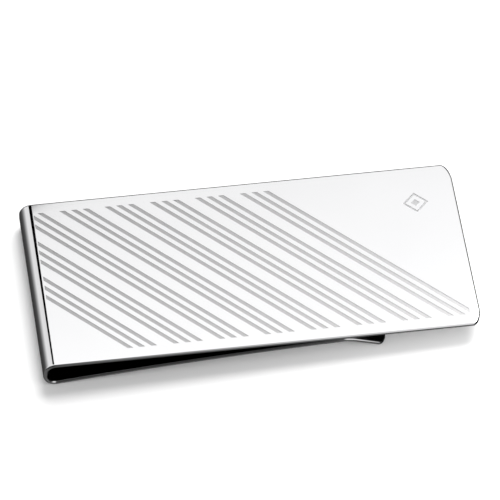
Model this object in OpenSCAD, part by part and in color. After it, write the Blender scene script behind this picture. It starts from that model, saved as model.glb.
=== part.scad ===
// Money clip folded from one strip of polished steel. The engraved front plate runs into a round fold,
// and the fold into a spring leaf that rises to press on the plate and ends in a flared tip.
// Millimetres. +X runs from the fold to the free end, +Y from the near edge to the far edge, +Z is up.
// The origin is under the middle of the clip, level with the underside of the fold.

/* [Strip] */
// Overall length, from the outside of the fold to the free end of the front plate
clip_length = 52.4; // [50:0.2:56]
// Width of the strip
clip_width = 25; // [24:0.5:30]
// Thickness of the steel
sheet = 0.5; // [0.4:0.05:0.6]
// Height over the outside of the fold
fold_height = 3.6; // [3:0.1:4]
// Outside radius of the two bends that make the fold
fold_radius = 1.5; // [1.2:0.05:1.5]

/* [Corners] */
// How far each rounded corner of the plate and of the tip reaches along the length
corner_x = 1.15; // [0.5:0.05:2.5]
// How far each rounded corner of the plate and of the tip reaches across the width
corner_y = 2.6; // [0.5:0.1:4]

/* [Spring leaf] */
// Distance from the outside of the fold to the line where the leaf presses on the plate
crest_x = 35.9; // [34:0.1:37]
// Distance from the outside of the fold to the end of the flared tip
tip_x = 41.1; // [40.5:0.1:43]
// Depth of the tip's underside below the top of the front plate
tip_drop = 2.6; // [2.2:0.1:2.7]
// Bend radius of the crest, at the middle of the sheet
crest_radius = 4; // [2:0.5:4]
// Radius of the leaf's gentle bow, at the middle of the sheet
bow_radius = 500; // [350:10:900]
// Gap between the leaf's crest and the plate when the clip is closed
crest_gap = 0.04; // [0.02:0.01:0.1]

/* [Engraving] */
// Depth of the engraved stripes and ornament
engraving_depth = 0.04; // [0.02:0.01:0.1]
// Width of one stripe
stripe_width = 0.46; // [0.3:0.02:0.6]
// Distance between neighbouring stripes of one group, centre to centre
stripe_pitch = 1; // [0.8:0.05:1.2]
// Stripes in each group
stripes_per_group = 3; // [1:1:3]
// Distance between neighbouring groups, centre to centre
group_pitch = 3.87; // [3.5:0.01:4.2]
// Number of groups
groups = 8; // [1:1:8]
// Where the middle of the first group would meet the near edge, from the outside of the fold
first_group_x = 13.5; // [12:0.5:16]
// Plain margin beside the fold
fold_margin = 0.08; // [0.05:0.01:1]
// Plain margin along the near and far edges
side_margin = 1.55; // [1:0.05:3]
// Plain margin at the free end
end_margin = 1.3; // [1:0.1:3]
// Distance of the ornament's centre from the free end
ornament_from_end = 5; // [4:0.1:8]
// Distance of the ornament's centre from the far edge
ornament_from_edge = 5.6; // [4:0.1:7]
// Side of the ornament's outer lozenge
ornament_side = 2.2; // [1.5:0.1:3]
// Line width of the ornament
ornament_line = 0.24; // [0.16:0.02:0.4]

/* [Hidden] */
$fn = 96;

steel = [0.84, 0.84, 0.85];
spring_steel = [0.66, 0.66, 0.68];

stripe_angle = 45;
corner_steps = 10;
wedge_steps = 6;
bow_steps = 24;
// Stretch of strip that the fold keeps below, before the leaf starts
land = 0.5;
// Gap between the fold and the leaf, where the model hinges
hinge_gap = 0.08;
// Stretch of bowed leaf that belongs to the flared tip, before the crest
tip_land = 2;
// Stretches of one piece overlap by this much where they meet
overlap = 0.01;
// Cutters reach this far past the faces that they cut
past = 1;

fold_mid_radius = fold_radius - sheet / 2;
crest_outer = crest_radius + sheet / 2;
crest_top = fold_height - sheet - crest_gap;

// The bowed leaf touches the fold's lower bend from outside and the crest's bend from inside, so its centre
// is this far from the centres of those two bends
fold_to_bow = bow_radius + fold_mid_radius;
crest_to_bow = bow_radius - crest_radius;
run_x = crest_x - fold_radius;
run_z = crest_top - crest_outer - fold_radius;
run = norm([run_x, run_z]);
bow_turn = acos((fold_to_bow ^ 2 - crest_to_bow ^ 2 + run ^ 2) / (2 * fold_to_bow * run));
bow_from = atan2(run_z, run_x) - bow_turn;
bow_centre = [fold_radius, fold_radius] + fold_to_bow * [cos(bow_from), sin(bow_from)];
// Angles on the bow, seen from its centre: where it leaves the fold, and where it meets the crest
bow_start = bow_from + 180;
bow_end = atan2(crest_top - crest_outer - bow_centre[1], crest_x - bow_centre[0]);
// Angle on the bow of one millimetre of leaf
bow_degree = 180 / (PI * bow_radius);

// The flare runs straight from the crest's bend to the middle of the tip's end
flare_x = tip_x - crest_x;
flare_z = fold_height - tip_drop + sheet / 2 - (crest_top - crest_outer);
flare = norm([flare_x, flare_z]);
flare_slope = atan2(flare_z, flare_x) - asin(crest_radius / flare);
flare_length = sqrt(flare ^ 2 - crest_radius ^ 2);

// Quarter of an ellipse in a corner, from one end of the round to the other
function corner_points(x, y, from) = [
    for (i = [0:corner_steps])
        let (a = from + 90 * i / corner_steps)
        [x + corner_x * cos(a), y + corner_y * sin(a)]
];

// The strip seen from above, square at its left end and with two round corners at its right end
module strip_outline(left, right) {
    side = clip_width / 2;
    polygon(concat(
        [[left, -side]],
        corner_points(right - corner_x, corner_y - side, 270),
        corner_points(right - corner_x, side - corner_y, 0),
        [[left, side]]
    ));
}

// Stands a side view, drawn in X and Z, up as a strip of the clip's full width
module strip() {
    translate([-clip_length / 2, 0, 0])
        rotate([90, 0, 0])
            linear_extrude(height = clip_width, center = true) children();
}

// Side view of a round bend of the sheet about the origin, from one angle to another
module bend(mid_radius, from, to) {
    reach = 2 * mid_radius + sheet;
    intersection() {
        difference() {
            circle(r = mid_radius + sheet / 2);
            circle(r = mid_radius - sheet / 2);
        }
        polygon(concat(
            [[0, 0]],
            [
                for (i = [0:wedge_steps])
                    let (a = from + (to - from) * i / wedge_steps)
                    reach * [cos(a), sin(a)]
            ]
        ));
    }
}

// Side view of a stretch of the bowed leaf, from one angle to another as seen from the bow's centre
module bow(from, to) {
    polygon([
        for (face = [-1, 1], i = [0:bow_steps])
            let (a = face < 0 ? from + (to - from) * i / bow_steps : to + (from - to) * i / bow_steps)
            bow_centre + (bow_radius + face * sheet / 2) * [cos(a), sin(a)]
    ]);
}

// Slanted stripes in groups, cut off square along the plate's margins
module stripes() {
    span = clip_length + clip_width;
    left = fold_radius + fold_margin;
    middle = (stripes_per_group - 1) / 2;
    intersection() {
        translate([left - clip_length / 2, side_margin - clip_width / 2])
            square([clip_length - left - end_margin, clip_width - 2 * side_margin]);
        for (g = [0:groups - 1], s = [0:stripes_per_group - 1]) {
            across = g * group_pitch + (s - middle) * stripe_pitch;
            translate([first_group_x + across / sin(stripe_angle) - clip_length / 2, -clip_width / 2])
                rotate(180 - stripe_angle)
                    square([2 * span, stripe_width], center = true);
        }
    }
}

// Plain lozenge outline round a small solid lozenge
module ornament() {
    translate([clip_length / 2 - ornament_from_end, clip_width / 2 - ornament_from_edge])
        rotate(stripe_angle) {
            difference() {
                square(ornament_side, center = true);
                square(ornament_side - 2 * ornament_line, center = true);
            }
            square(ornament_side / 3, center = true);
        }
}

module front_plate() {
    color(steel)
        difference() {
            translate([0, 0, fold_height - sheet])
                linear_extrude(height = sheet)
                    strip_outline(fold_radius - clip_length / 2, clip_length / 2);
            translate([0, 0, fold_height - engraving_depth])
                linear_extrude(height = past) {
                    stripes();
                    ornament();
                }
        }
}

module fold_spine() {
    color(steel)
        strip() {
            translate([fold_radius, fold_height - fold_radius]) bend(fold_mid_radius, 90, 180);
            translate([0, fold_radius - overlap])
                square([sheet, fold_height - 2 * fold_radius + 2 * overlap]);
            translate([fold_radius, fold_radius]) {
                bend(fold_mid_radius, 180, bow_start + 180);
                rotate(bow_start - 90)
                    translate([-overlap, -fold_radius]) square([land + overlap, sheet]);
            }
        }
}

module spring_leaf() {
    color(spring_steel)
        strip() bow(bow_start - (land + hinge_gap) * bow_degree, bow_end + tip_land * bow_degree);
}

module flared_tip() {
    color(spring_steel)
        intersection() {
            strip() {
                bow(bow_end + tip_land * bow_degree, bow_end - overlap * bow_degree);
                translate([crest_x, crest_top - crest_outer]) {
                    bend(crest_radius, 90 + flare_slope, bow_end);
                    rotate(flare_slope)
                        translate([-overlap, crest_radius - sheet / 2])
                            square([overlap + flare_length + past, sheet]);
                }
            }
            linear_extrude(height = fold_height)
                strip_outline(-clip_length, tip_x - clip_length / 2);
        }
}

front_plate();
fold_spine();
spring_leaf();
flared_tip();
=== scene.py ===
import bpy
import bmesh
from math import acos, asin, atan2, cos, hypot, pi, radians, sin
from mathutils import Matrix, Vector


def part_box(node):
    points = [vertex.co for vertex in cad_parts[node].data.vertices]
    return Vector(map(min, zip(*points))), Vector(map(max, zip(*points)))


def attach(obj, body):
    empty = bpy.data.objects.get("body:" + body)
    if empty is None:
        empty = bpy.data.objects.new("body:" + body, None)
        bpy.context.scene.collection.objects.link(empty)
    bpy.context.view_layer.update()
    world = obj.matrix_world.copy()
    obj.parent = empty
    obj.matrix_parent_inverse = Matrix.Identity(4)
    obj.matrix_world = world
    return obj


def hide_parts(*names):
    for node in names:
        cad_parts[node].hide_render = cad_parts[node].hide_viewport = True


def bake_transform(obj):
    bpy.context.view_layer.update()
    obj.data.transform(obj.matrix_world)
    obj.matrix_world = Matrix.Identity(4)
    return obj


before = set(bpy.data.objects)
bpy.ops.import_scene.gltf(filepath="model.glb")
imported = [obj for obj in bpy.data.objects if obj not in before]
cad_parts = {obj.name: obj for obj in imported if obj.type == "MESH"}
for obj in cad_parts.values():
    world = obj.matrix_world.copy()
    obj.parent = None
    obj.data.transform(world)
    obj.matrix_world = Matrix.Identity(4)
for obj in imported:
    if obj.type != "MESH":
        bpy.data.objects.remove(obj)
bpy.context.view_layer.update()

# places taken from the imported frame: the front plate, the fold at its left end, the leaf and its tip
plateLow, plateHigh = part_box("front_plate")
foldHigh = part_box("fold_spine")[1]
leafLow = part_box("spring_leaf")[0]
tipLow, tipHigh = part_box("flared_tip")

sheet = plateHigh.z - plateLow.z
width = plateHigh.y - plateLow.y
leftEnd = -plateHigh.x              # the origin is under the middle, level with the fold's underside
foldRadius = plateLow.x - leftEnd   # the plate ends where the fold's upper bend begins
lowerBend = Vector((plateLow.x, 0, foldRadius))
hair = 0.00001                      # what counts as the same place


# small helpers for working in edit mode

def deselectAll():
    if bpy.context.mode != "OBJECT":
        bpy.ops.object.mode_set(mode="OBJECT")
    bpy.ops.object.select_all(action="DESELECT")


def newPiece(name):
    # an empty mesh at the origin, open in edit mode, so that what is added lands at its place
    deselectAll()
    bpy.ops.object.add(type="MESH", location=(0, 0, 0))
    piece = bpy.context.object
    piece.name = piece.data.name = name
    bpy.ops.object.mode_set(mode="EDIT")
    return piece


def openPiece(piece):
    deselectAll()
    bpy.context.view_layer.objects.active = piece
    piece.select_set(True)
    bpy.ops.object.mode_set(mode="EDIT")


def pickFaces(piece, test):
    bpy.ops.mesh.select_mode(type="FACE")
    bpy.ops.mesh.select_all(action="DESELECT")
    mesh = bmesh.from_edit_mesh(piece.data)
    for face in mesh.faces:
        if test(face.calc_center_median(), face.normal):
            face.select_set(True)
    bmesh.update_edit_mesh(piece.data)


def pickEdges(piece, test):
    bpy.ops.mesh.select_mode(type="EDGE")
    bpy.ops.mesh.select_all(action="DESELECT")
    mesh = bmesh.from_edit_mesh(piece.data)
    for edge in mesh.edges:
        if test(edge.verts[0].co, edge.verts[1].co, edge):
            edge.select_set(True)
    bmesh.update_edit_mesh(piece.data)


def extrudeBy(move):
    bpy.ops.mesh.extrude_region_move(TRANSFORM_OT_translate={"value": move})


rim = {"round": 0.00023, "steps": 6}


def roundRims():
    # breaks the selected rims with a fine round, and keeps the flats beside it dead flat
    bpy.ops.mesh.bevel(offset=rim["round"], segments=rim["steps"], affect="EDGES")
    bpy.ops.mesh.region_to_loop()
    bpy.ops.mesh.mark_sharp()


def closePiece(piece):
    bpy.ops.mesh.select_all(action="SELECT")
    bpy.ops.mesh.normals_make_consistent(inside=False)
    bpy.ops.object.mode_set(mode="OBJECT")
    deselectAll()
    bpy.context.view_layer.objects.active = piece
    piece.select_set(True)
    bpy.ops.object.shade_smooth_by_angle(angle=radians(32))


# the round corners of the plate and of the tip are ellipses: they are rounded while the piece is squeezed
# across, and stretch with it
corner = {"alongStrip": 0.00115, "acrossStrip": 0.0026, "steps": 14}


def squeezeWidth(whole, part):
    bpy.ops.mesh.select_all(action="SELECT")
    bpy.ops.transform.resize(value=(1, part / whole, 1), center_override=(0, 0, 0))


# the folded strip: fold, spring leaf and flared tip, drawn out of one section

strip = {
    "crestX": 0.0359,        # from the outside of the fold to the top of the crest
    "crestRadius": 0.004,    # bend of the crest, middle of the sheet
    "bowRadius": 0.5,        # gentle bow of the leaf
    "tipLand": 0.002,        # stretch of bowed leaf that belongs to the tip
    "bendSteps": 48,
    "leafSteps": 30,
    "crestSteps": 12,
}

# the bow touches the fold's lower bend from outside and the crest's bend from inside
bendRadius = foldRadius - sheet / 2
crestCentre = Vector((leftEnd + strip["crestX"], 0, tipHigh.z - strip["crestRadius"] - sheet / 2))
towardsCrest = crestCentre - lowerBend
foldToBow = strip["bowRadius"] + bendRadius
crestToBow = strip["bowRadius"] - strip["crestRadius"]
run = towardsCrest.length
bowTurn = acos((foldToBow ** 2 - crestToBow ** 2 + run ** 2) / (2 * foldToBow * run))
bowFrom = atan2(towardsCrest.z, towardsCrest.x) - bowTurn
bowCentre = lowerBend + Vector((cos(bowFrom), 0, sin(bowFrom))) * foldToBow
leafSlope = bowFrom + pi / 2                                  # where the leaf leaves the fold
crestSlope = atan2(crestCentre.z - bowCentre.z, crestCentre.x - bowCentre.x) - pi / 2

flareEnd = Vector((tipHigh.x, 0, tipLow.z + sheet / 2)) - crestCentre
flareSlope = atan2(flareEnd.z, flareEnd.x) - asin(strip["crestRadius"] / flareEnd.length)
flareLength = (flareEnd.length ** 2 - strip["crestRadius"] ** 2) ** 0.5
alongFlare = Vector((cos(flareSlope), 0, sin(flareSlope)))


def onBow(slope):
    return bowCentre + Vector((-sin(slope), 0, cos(slope))) * strip["bowRadius"]


# the seams, where the fold hands over to the leaf and the leaf to the tip
leafStart = onBow(leafSlope)
seamX = (leafLow.x + foldHigh.x) / 2
seamSlope = leafSlope - (seamX - leafStart.x) / cos(leafSlope) / strip["bowRadius"]
foldSeam = onBow(seamSlope)
tipSeamSlope = crestSlope + strip["tipLand"] / strip["bowRadius"]
tipSeam = onBow(tipSeamSlope)


def turnAbout(centre, angle, steps):
    bpy.ops.mesh.spin(steps=steps, angle=angle, center=centre, axis=(0, 1, 0))


def atPlateJoint(a, b):
    return all(abs(end.x - plateLow.x) < hair and end.z > plateLow.z - hair for end in (a, b))


def drawStrip():
    piece = newPiece("foldedStrip")
    bpy.ops.mesh.primitive_plane_add(
        size=1, location=(plateLow.x, 0, plateHigh.z - sheet / 2), rotation=(0, pi / 2, 0))
    bpy.ops.transform.resize(value=(1, width, sheet))
    back = plateHigh.z - 2 * foldRadius                       # straight back between the two bends
    turnAbout(lowerBend + Vector((0, 0, back)), pi / 2, strip["bendSteps"])
    extrudeBy((0, 0, -back))
    turnAbout(lowerBend, pi / 2 + leafSlope, strip["bendSteps"])
    turnAbout(bowCentre, seamSlope - leafSlope, 1)
    turnAbout(bowCentre, tipSeamSlope - seamSlope, strip["leafSteps"])
    turnAbout(bowCentre, crestSlope - tipSeamSlope, 2)
    turnAbout(crestCentre, flareSlope - crestSlope, strip["crestSteps"])
    extrudeBy(alongFlare * flareLength)

    # the tip's two round corners, then a fine round along every outer edge but the joint with the plate
    endX = tipHigh.x - sheet
    squeezeWidth(corner["acrossStrip"], corner["alongStrip"])
    pickEdges(piece, lambda a, b, edge: min(a.x, b.x) > endX and abs(a.y - b.y) < sheet / 10)
    bpy.ops.mesh.bevel(offset=corner["alongStrip"], segments=corner["steps"], affect="EDGES")
    squeezeWidth(corner["alongStrip"], corner["acrossStrip"])
    pickEdges(piece, lambda a, b, edge: edge.calc_face_angle(0) > radians(60) and not atPlateJoint(a, b))
    roundRims()
    closePiece(piece)
    return piece


def cutOff(piece, name, test):
    # parts the faces that pass the test from the strip, as a piece of its own, and closes both cut ends
    openPiece(piece)
    pickFaces(piece, test)
    bpy.ops.mesh.separate(type="SELECTED")
    bpy.ops.object.mode_set(mode="OBJECT")
    cut = next(o for o in bpy.context.selected_objects if o is not piece)
    cut.name = cut.data.name = name
    for part in (piece, cut):
        openPiece(part)
        pickEdges(part, lambda a, b, edge: edge.is_boundary)
        bpy.ops.mesh.edge_face_add()
        closePiece(part)
    return cut


def splitStrip(piece):
    # a straight cut across the leaf at each seam, where edge loops already stand
    tip = cutOff(piece, "flaredTip", lambda place, normal: place.x > tipSeam.x)
    leaf = cutOff(piece, "springLeaf", lambda place, normal: place.x > foldSeam.x)
    piece.name = piece.data.name = "foldSpine"
    return piece, leaf, tip


# the engraved front plate

engraving = {
    "depth": 0.00004,
    "stripeWidth": 0.00046,
    "stripePitch": 0.001,
    "stripesPerGroup": 3,
    "groupPitch": 0.00387,
    "groups": 8,
    "firstGroup": 0.0135,    # from the outside of the fold, at the near edge
    "slant": 45,
    "foldMargin": 0.00008,
    "sideMargin": 0.00155,
    "endMargin": 0.0013,
    "ornamentFromEnd": 0.005,
    "ornamentFromEdge": 0.0056,
    "ornamentSide": 0.0022,
    "ornamentLine": 0.00024,
}

slant = radians(engraving["slant"])
acrossStripes = Vector((sin(slant), cos(slant), 0))
alongStripes = Vector((cos(slant), -sin(slant), 0))
stripeOrigin = Vector((leftEnd + engraving["firstGroup"], plateLow.y, plateHigh.z))
ornamentCentre = Vector((plateHigh.x - engraving["ornamentFromEnd"],
                         plateHigh.y - engraving["ornamentFromEdge"], plateHigh.z))


def stripeOffsets():
    # distance of each stripe's middle line from the first group's, square to the stripes
    middle = (engraving["stripesPerGroup"] - 1) / 2
    for group in range(engraving["groups"]):
        for line in range(engraving["stripesPerGroup"]):
            yield group * engraving["groupPitch"] + (line - middle) * engraving["stripePitch"]


def insideMargins(place, slack=0.0):
    left = plateLow.x + engraving["foldMargin"] - slack
    right = plateHigh.x - engraving["endMargin"] + slack
    return left < place.x < right and abs(place.y) < width / 2 - engraving["sideMargin"] + slack


def inStripe(place):
    offset = (place - stripeOrigin).dot(acrossStripes)
    near = any(abs(offset - line) < engraving["stripeWidth"] / 2 for line in stripeOffsets())
    return near and insideMargins(place)


def beyondStripes(place):
    last = max(stripeOffsets()) + engraving["stripeWidth"]
    return (place - stripeOrigin).dot(acrossStripes) > last and insideMargins(place)


def inOrnament(place):
    fromCentre = place - ornamentCentre
    reach = max(abs(fromCentre.dot(acrossStripes)), abs(fromCentre.dot(alongStripes)))
    outer = engraving["ornamentSide"] / 2
    return reach < engraving["ornamentSide"] / 6 or outer - engraving["ornamentLine"] < reach < outer


def pickTop(piece, test=lambda place: True):
    pickFaces(piece, lambda at, up: up.z > 0.99 and at.z > plateHigh.z - hair and test(at))


def scribe(piece, place, normal, test=lambda place: True):
    # cuts one straight line across the faces of the top that pass the test
    pickTop(piece, test)
    bpy.ops.mesh.bisect(plane_co=place, plane_no=normal, threshold=hair / 10)


def atFoldJoint(a, b):
    return max(a.x, b.x) < plateLow.x + hair


def drawPlate():
    piece = newPiece("frontPlate")
    middle = (plateLow + plateHigh) / 2
    middle.z = plateHigh.z
    bpy.ops.mesh.primitive_plane_add(size=1, location=middle)
    bpy.ops.transform.resize(value=(plateHigh.x - plateLow.x, width, 1))
    squeezeWidth(corner["acrossStrip"], corner["alongStrip"])
    pickEdges(piece, lambda a, b, edge: min(a.x, b.x) > middle.x)
    bpy.ops.mesh.bevel(offset=corner["alongStrip"], segments=corner["steps"], affect="VERTICES")
    squeezeWidth(corner["alongStrip"], corner["acrossStrip"])
    extrudeBy((0, 0, -sheet))
    bpy.ops.mesh.select_all(action="SELECT")
    bpy.ops.mesh.normals_make_consistent(inside=False)
    pickEdges(piece, lambda a, b, edge: (edge.calc_face_angle(0) > radians(60)
                                         and abs(a.z - b.z) < hair and not atFoldJoint(a, b)))
    roundRims()

    side = width / 2 - engraving["sideMargin"]
    scribe(piece, (0, side, 0), (0, 1, 0))
    scribe(piece, (0, -side, 0), (0, 1, 0))
    scribe(piece, (plateHigh.x - engraving["endMargin"], 0, 0), (1, 0, 0))
    scribe(piece, (plateLow.x + engraving["foldMargin"], 0, 0), (1, 0, 0))
    for offset in stripeOffsets():
        for flank in (-1, 1):
            line = stripeOrigin + acrossStripes * (offset + flank * engraving["stripeWidth"] / 2)
            scribe(piece, line, acrossStripes, lambda at: abs(at.y) < side)
    outer = engraving["ornamentSide"] / 2
    for reach in (outer / 3, outer - engraving["ornamentLine"], outer):
        for direction in (acrossStripes, alongStripes):
            for flank in (-1, 1):
                scribe(piece, ornamentCentre + direction * reach * flank, direction, beyondStripes)

    pickTop(piece, lambda at: inStripe(at) or inOrnament(at))
    extrudeBy((0, 0, -engraving["depth"]))
    closePiece(piece)
    return piece


# shader maths: values are written as Python sums, and each sum adds its own nodes

class Value:
    def __init__(self, tree, socket):
        self.tree = tree
        self.socket = socket

    def maths(self, operation, *others, swap=False):
        inputs = [self, *others]
        if swap:
            inputs.reverse()
        return node(self.tree, "ShaderNodeMath", {"operation": operation}, dict(enumerate(inputs)))

    def __add__(self, other):
        return self.maths("ADD", other)

    def __radd__(self, other):
        return self.maths("ADD", other)

    def __sub__(self, other):
        return self.maths("SUBTRACT", other)

    def __rsub__(self, other):
        return self.maths("SUBTRACT", other, swap=True)

    def __mul__(self, other):
        return self.maths("MULTIPLY", other)

    def __rmul__(self, other):
        return self.maths("MULTIPLY", other)

    def __truediv__(self, other):
        return self.maths("DIVIDE", other)

    def clamped(self, low=0.0, high=1.0):
        return self.maths("MAXIMUM", low).maths("MINIMUM", high)


def node(tree, kind, settings=None, inputs=None, output=0):
    # adds a node: its settings first, then the values or links of its sockets, and gives one of its outputs
    made = tree.nodes.new(kind)
    for name, value in (settings or {}).items():
        if name == "stops":
            ramp = made.color_ramp
            ramp.elements[0].position, ramp.elements[0].color = value[0]
            ramp.elements[1].position, ramp.elements[1].color = value[-1]
            for place, colour in value[1:-1]:
                ramp.elements.new(place).color = colour
        else:
            setattr(made, name, value)
    for name, value in (inputs or {}).items():
        if isinstance(value, Value):
            tree.links.new(value.socket, made.inputs[name])
        else:
            made.inputs[name].default_value = value
    return None if output is None else Value(tree, made.outputs[output])


def newSteel(name):
    material = bpy.data.materials.new(name)
    material.use_nodes = True
    tree = material.node_tree
    shader = tree.nodes["Principled BSDF"]
    shader.inputs["Metallic"].default_value = 1
    return material, tree, shader


def noise(tree, place, scale, detail=2.0, roughness=0.5):
    return node(tree, "ShaderNodeTexNoise", {}, {
        "Vector": place, "Scale": scale, "Detail": detail, "Roughness": roughness})


def stretched(tree, scale, turn=0.0):
    # object coordinates, drawn out along one direction for lines of wear or grain
    place = node(tree, "ShaderNodeTexCoord", output=3)
    return node(tree, "ShaderNodeMapping", {}, {
        "Vector": place, "Rotation": (0, 0, turn), "Scale": scale})


def mixColours(tree, mask, one, other):
    return node(tree, "ShaderNodeMix", {"data_type": "RGBA"}, {0: mask, 6: one, 7: other}, output=2)


def feed(tree, shader, **sockets):
    for name, value in sockets.items():
        tree.links.new(value.socket, shader.inputs[name.replace("_", " ")])


# steel finishes

mirror = {
    "light": (0.640, 0.640, 0.645, 1),
    "dark": (0.612, 0.612, 0.618, 1),
    "gloss": 0.035,          # roughness of the clean polish
    "haze": 0.035,           # added in the faintest fingerprints and wiping marks
    "scratchDepth": 0.0000004,
}


def mirrorSteel():
    material, tree, shader = newSteel("mirrorSteel")
    place = stretched(tree, (1, 1, 1))
    cloud = noise(tree, place, 90, 3)
    wiping = noise(tree, stretched(tree, (60, 900, 900), radians(8)), 1, 4, 0.6)
    hairlines = noise(tree, stretched(tree, (350, 9000, 9000), radians(-4)), 1, 2, 0.7)
    mist = ((cloud - 0.5) * 1.6 + (wiping - 0.5) * 1.2 + 0.35).clamped()
    scratches = (hairlines - 0.62) * 6
    rough = mist * mirror["haze"] + scratches.clamped() * 0.02 + mirror["gloss"]
    feed(tree, shader, Base_Color=mixColours(tree, cloud, mirror["light"], mirror["dark"]), Roughness=rough)
    bump = node(tree, "ShaderNodeBump", {}, {
        "Strength": 0.02, "Distance": mirror["scratchDepth"], "Height": hairlines})
    feed(tree, shader, Normal=bump)
    return material


satin = {
    "light": (0.45, 0.45, 0.45, 1),
    "dark": (0.35, 0.35, 0.355, 1),
    "gloss": 0.36,
    "grain": 22000,          # grains per metre
}


def etchedSteel():
    material, tree, shader = newSteel("etchedSteel")
    place = stretched(tree, (1, 1, 1))
    grain = noise(tree, place, satin["grain"], 2, 0.6)
    blotch = noise(tree, place, 1400, 3)
    feed(tree, shader,
         Base_Color=mixColours(tree, grain * 0.6 + blotch * 0.4, satin["light"], satin["dark"]),
         Roughness=(grain - 0.5) * 0.12 + (blotch - 0.5) * 0.08 + satin["gloss"])
    bump = node(tree, "ShaderNodeBump", {}, {"Strength": 0.25, "Distance": 0.000004, "Height": grain})
    feed(tree, shader, Normal=bump)
    return material


edgeFinish = {
    "light": (0.56, 0.56, 0.565, 1),
    "dark": (0.44, 0.44, 0.445, 1),
    "gloss": 0.16,
}


def tumbledSteel():
    # the cut edges of the sheet: rounded and tumbled, a little duller than the faces
    material, tree, shader = newSteel("tumbledSteel")
    lines = noise(tree, stretched(tree, (700, 700, 16000)), 1, 3, 0.6)
    spots = noise(tree, stretched(tree, (1, 1, 1)), 3200, 2)
    feed(tree, shader,
         Base_Color=mixColours(tree, lines * 0.7 + spots * 0.3, edgeFinish["light"], edgeFinish["dark"]),
         Roughness=(lines - 0.5) * 0.12 + (spots - 0.5) * 0.1 + edgeFinish["gloss"])
    bump = node(tree, "ShaderNodeBump", {}, {"Strength": 0.15, "Distance": 0.000003, "Height": lines})
    feed(tree, shader, Normal=bump)
    return material


def finishPiece(piece, finishes, edgeTest, etchTest=None):
    # finishes are face, edge and, on the plate, etched steel, in that order of slots
    for material in finishes:
        piece.data.materials.append(material)
    for face in piece.data.polygons:
        if etchTest and etchTest(face):
            face.material_index = 2
        elif edgeTest(face):
            face.material_index = 1


def onCutEdge(face):
    return abs(face.normal.y) > 0.95 or face.normal.x > 0.7


def inEngraving(face):
    # the floors and the walls of the grooves
    sunk = plateHigh.z - 1.5 * engraving["depth"] < face.center.z < plateHigh.z - hair / 10
    return sunk and insideMargins(face.center, hair)


print("modelling the folded strip")
foldSpine, springLeaf, flaredTip = splitStrip(drawStrip())
print("modelling the engraved plate")
frontPlate = drawPlate()

print("finishing the steel")
polished, tumbled, etched = mirrorSteel(), tumbledSteel(), etchedSteel()
finishPiece(frontPlate, (polished, tumbled, etched), onCutEdge, inEngraving)
for piece in (foldSpine, springLeaf, flaredTip):
    finishPiece(piece, (polished, tumbled), onCutEdge)

for piece, cadNode in ((frontPlate, "front_plate"), (foldSpine, "fold_spine"),
                       (springLeaf, "spring_leaf"), (flaredTip, "flared_tip")):
    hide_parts(cadNode)
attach(frontPlate, "front")
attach(foldSpine, "front")
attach(flaredTip, "leaf")
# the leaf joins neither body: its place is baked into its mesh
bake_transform(springLeaf)


# floor, lights and camera

print("setting the table and the lights")
tipFoot = Vector((tipHigh.x, 0, tipLow.z)) - lowerBend
tableTilt = atan2(tipFoot.z, tipFoot.x) + asin(foldRadius / hypot(tipFoot.x, tipFoot.z))
tableFoot = lowerBend + Vector((sin(tableTilt), 0, -cos(tableTilt))) * foldRadius

table = {"size": 3.0, "colour": (0.90, 0.90, 0.90, 1), "roughness": 0.6}


def makeTable():
    deselectAll()
    bpy.ops.mesh.primitive_plane_add(size=table["size"], location=tableFoot, rotation=(0, -tableTilt, 0))
    floor = bpy.context.object
    floor.name = "table"
    material = bpy.data.materials.new("paleTable")
    material.use_nodes = True
    shader = material.node_tree.nodes["Principled BSDF"]
    shader.inputs["Base Color"].default_value = table["colour"]
    shader.inputs["Roughness"].default_value = table["roughness"]
    shader.inputs["Specular IOR Level"].default_value = 0.1
    floor.data.materials.append(material)
    floor.visible_glossy = False


# only the steel sees the canopy: a lit ceiling, brightest towards its near right side, with a dark
# slanting slit that draws the black line along the fold
canopy = {
    "height": 0.176,
    "left": -0.6,
    "right": 0.16,
    "near": 0.0,
    "far": 0.172,
    "middle": (0.025, 0.1436),
    "glow": 1.5,
    "brighterRight": 1.6,    # change of the glow per metre
    "brighterNear": 6.5,
    "hotSpot": (0.125, 0.085),
    "hotGlow": 11.0,
    "hotReach": 0.07,
    "slitRight": ((-0.0107, 0.155), (-0.0416, 0.131)),
    "slitLeft": ((-0.098, 0.160), (-0.100, 0.1376)),
    "besideSlit": 1.16,
}


def splitVector(tree, vector):
    return [node(tree, "ShaderNodeSeparateXYZ", {}, {"Vector": vector}, output=axis) for axis in "XYZ"]


def smooth(value, low, high):
    # 0 below low, 1 above high, straight between them
    return ((value - low) / (high - low)).clamped()


def rightOf(x, y, line):
    # 1 to the right of a line through two points, 0 to its left
    (farX, farY), (nearX, nearY) = line
    slope = (farX - nearX) / (farY - nearY)
    return smooth(x - (y - nearY) * slope - nearX, -0.001, 0.001)


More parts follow.
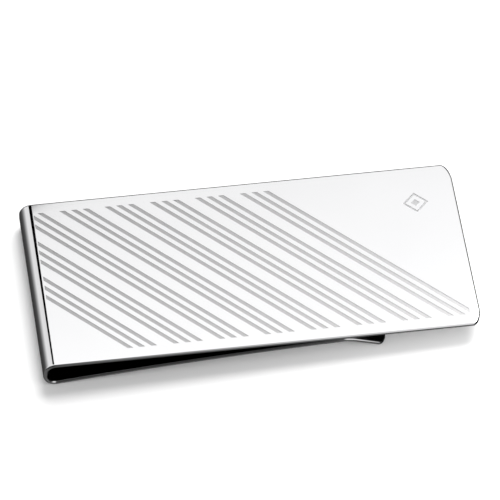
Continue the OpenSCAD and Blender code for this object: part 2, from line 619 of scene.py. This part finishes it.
def makeCanopy():
    deselectAll()
    length, depth = canopy["right"] - canopy["left"], canopy["far"] - canopy["near"]
    bpy.ops.mesh.primitive_plane_add(size=1)
    card = bpy.context.object
    card.name = "canopy"
    bpy.ops.object.mode_set(mode="EDIT")
    bpy.ops.transform.resize(value=(length, depth, 1))
    bpy.ops.transform.translate(value=(
        canopy["left"] + length / 2, canopy["near"] + depth / 2, canopy["height"]))
    bpy.ops.object.mode_set(mode="OBJECT")
    card.visible_camera = card.visible_diffuse = card.visible_shadow = False
    material = bpy.data.materials.new("canopyGlow")
    material.use_nodes = True
    tree = material.node_tree
    tree.nodes.clear()
    x, y, z = splitVector(tree, node(tree, "ShaderNodeTexCoord", output=3))
    fromHotX, fromHotY = x - canopy["hotSpot"][0], y - canopy["hotSpot"][1]
    fromHot = (fromHotX * fromHotX + fromHotY * fromHotY).maths("SQRT")
    glow = ((x - canopy["middle"][0]) * canopy["brighterRight"]
            + (canopy["middle"][1] - y) * canopy["brighterNear"]).clamped(-0.2, 0.25) + canopy["glow"]
    glow = glow + (1 - smooth(fromHot, canopy["hotReach"] / 2, canopy["hotReach"])) * canopy["hotGlow"]
    lit = rightOf(x, y, canopy["slitRight"])
    beside = 1 - rightOf(x, y, canopy["slitLeft"])
    emission = node(tree, "ShaderNodeEmission", {}, {
        "Strength": lit * glow + beside * (1 - lit) * canopy["besideSlit"]})
    node(tree, "ShaderNodeOutputMaterial", {}, {"Surface": emission}, output=None)
    card.data.materials.append(material)


studio = {
    "daylight": 0.40,        # even light on the table
    "frontLight": 0.75,      # and more of it from the front left, into the shadow
    "skyGlow": 1.18,         # what the steel mirrors high above the table
    # rise of that glow with height: below the table, along the horizon, above it
    "stops": [(0.25, 0.05), (0.40, 0.10), (0.47, 0.20), (0.585, 0.50), (0.70, 1.0)],
    "darkBack": (0.66, 0.72),       # the steel sees a black backdrop behind the clip
    "darkFront": (0.0, 0.15),      # and the dark room in front of it, up to a window on the right
    "window": (0.06, 0.20),
    "darkRight": (0.58, 0.70),      # the room is dark to the right too
    "darkness": 0.95,
    "tableGlow": 0.16,       # what the cut edges mirror of the table in front of them
}


def makeStudio():
    world = bpy.data.worlds.new("studio")
    bpy.context.scene.world = world
    world.use_nodes = True
    world.cycles.sampling_method = "NONE"
    tree = world.node_tree
    tree.nodes.clear()
    x, y, z = splitVector(tree, node(tree, "ShaderNodeTexCoord"))
    stops = [(place, (tone, tone, tone, 1)) for place, tone in studio["stops"]]
    rise = node(tree, "ShaderNodeValToRGB", {"stops": stops}, {0: z * 0.5 + 0.5})
    back = smooth(y, *studio["darkBack"])
    front = smooth(-1 * y, *studio["darkFront"]) * (1 - smooth(x, *studio["window"]))
    right = smooth(x, *studio["darkRight"])
    below = smooth(x, 0.2, 0.4) * smooth(-1 * z, -0.1, 0.1)      # under the plate, seen past the tip
    dark = (back + front + right + below).clamped() * studio["darkness"]
    mirrored = rise * studio["skyGlow"] * (1 - dark)
    mirrored = mirrored + smooth(-1 * y, 0, 0.3) * smooth(-1 * z, 0, 0.3) * studio["tableGlow"]
    daylight = smooth(-0.5 * x - 0.86 * y, 0, 0.8) * studio["frontLight"] + studio["daylight"]
    glossy = node(tree, "ShaderNodeLightPath", output="Is Glossy Ray")
    background = node(tree, "ShaderNodeBackground", {}, {
        "Color": (1, 1, 1, 1), "Strength": glossy * mirrored + (1 - glossy) * daylight})
    node(tree, "ShaderNodeOutputWorld", {}, {"Surface": background}, output=None)


keyLight = {"place": (0.15, 0.36, 0.42), "size": 0.48, "watts": 4.5}
fillLight = {"place": (0.064, -0.045, 0.024), "size": 0.03, "watts": 0.03}      # under the free end


def makeLamp(name, plan):
    # a round soft lamp that looks at the clip, and that the steel doesn't mirror
    data = bpy.data.lights.new(name, "AREA")
    data.shape = "DISK"
    data.size = plan["size"]
    data.energy = plan["watts"]
    lamp = bpy.data.objects.new(name, data)
    bpy.context.scene.collection.objects.link(lamp)
    lamp.location = plan["place"]
    lamp.rotation_euler = Vector(plan["place"]).to_track_quat("Z", "Y").to_euler()
    lamp.visible_glossy = lamp.visible_camera = False


cameraPlan = {
    "azimuth": -9.24,
    "elevation": 50.44,
    "roll": 1.52,
    "distance": 0.7118,
    "lens": 429.6,
    "right": 0.000107,       # how far the view's centre lies beside the plate's centre
    "up": 0.001634,
}


def makeCamera():
    turn, rise = radians(cameraPlan["azimuth"]), radians(cameraPlan["elevation"])
    back = Vector((sin(turn) * cos(rise), -cos(turn) * cos(rise), sin(rise)))
    level = Vector((cos(turn), sin(turn), 0))
    roll = Matrix.Rotation(radians(cameraPlan["roll"]), 3, back)
    right = roll @ level
    up = back.cross(right)
    plateCentre = Vector((0, 0, plateHigh.z))
    data = bpy.data.cameras.new("camera")
    camera = bpy.data.objects.new("camera", data)
    bpy.context.scene.collection.objects.link(camera)
    data.sensor_width, data.lens = 36, cameraPlan["lens"]
    data.clip_start, data.clip_end = 0.01, 10
    camera.matrix_world = Matrix((
        (right.x, up.x, back.x, 0), (right.y, up.y, back.y, 0), (right.z, up.z, back.z, 0), (0, 0, 0, 1)))
    camera.location = (plateCentre + back * cameraPlan["distance"]
                       + right * cameraPlan["right"] + up * cameraPlan["up"])
    bpy.context.scene.camera = camera


makeTable()
makeCanopy()
makeStudio()
makeLamp("keyLight", keyLight)
makeLamp("fillLight", fillLight)
makeCamera()
bpy.context.scene.view_settings.view_transform = "Standard"
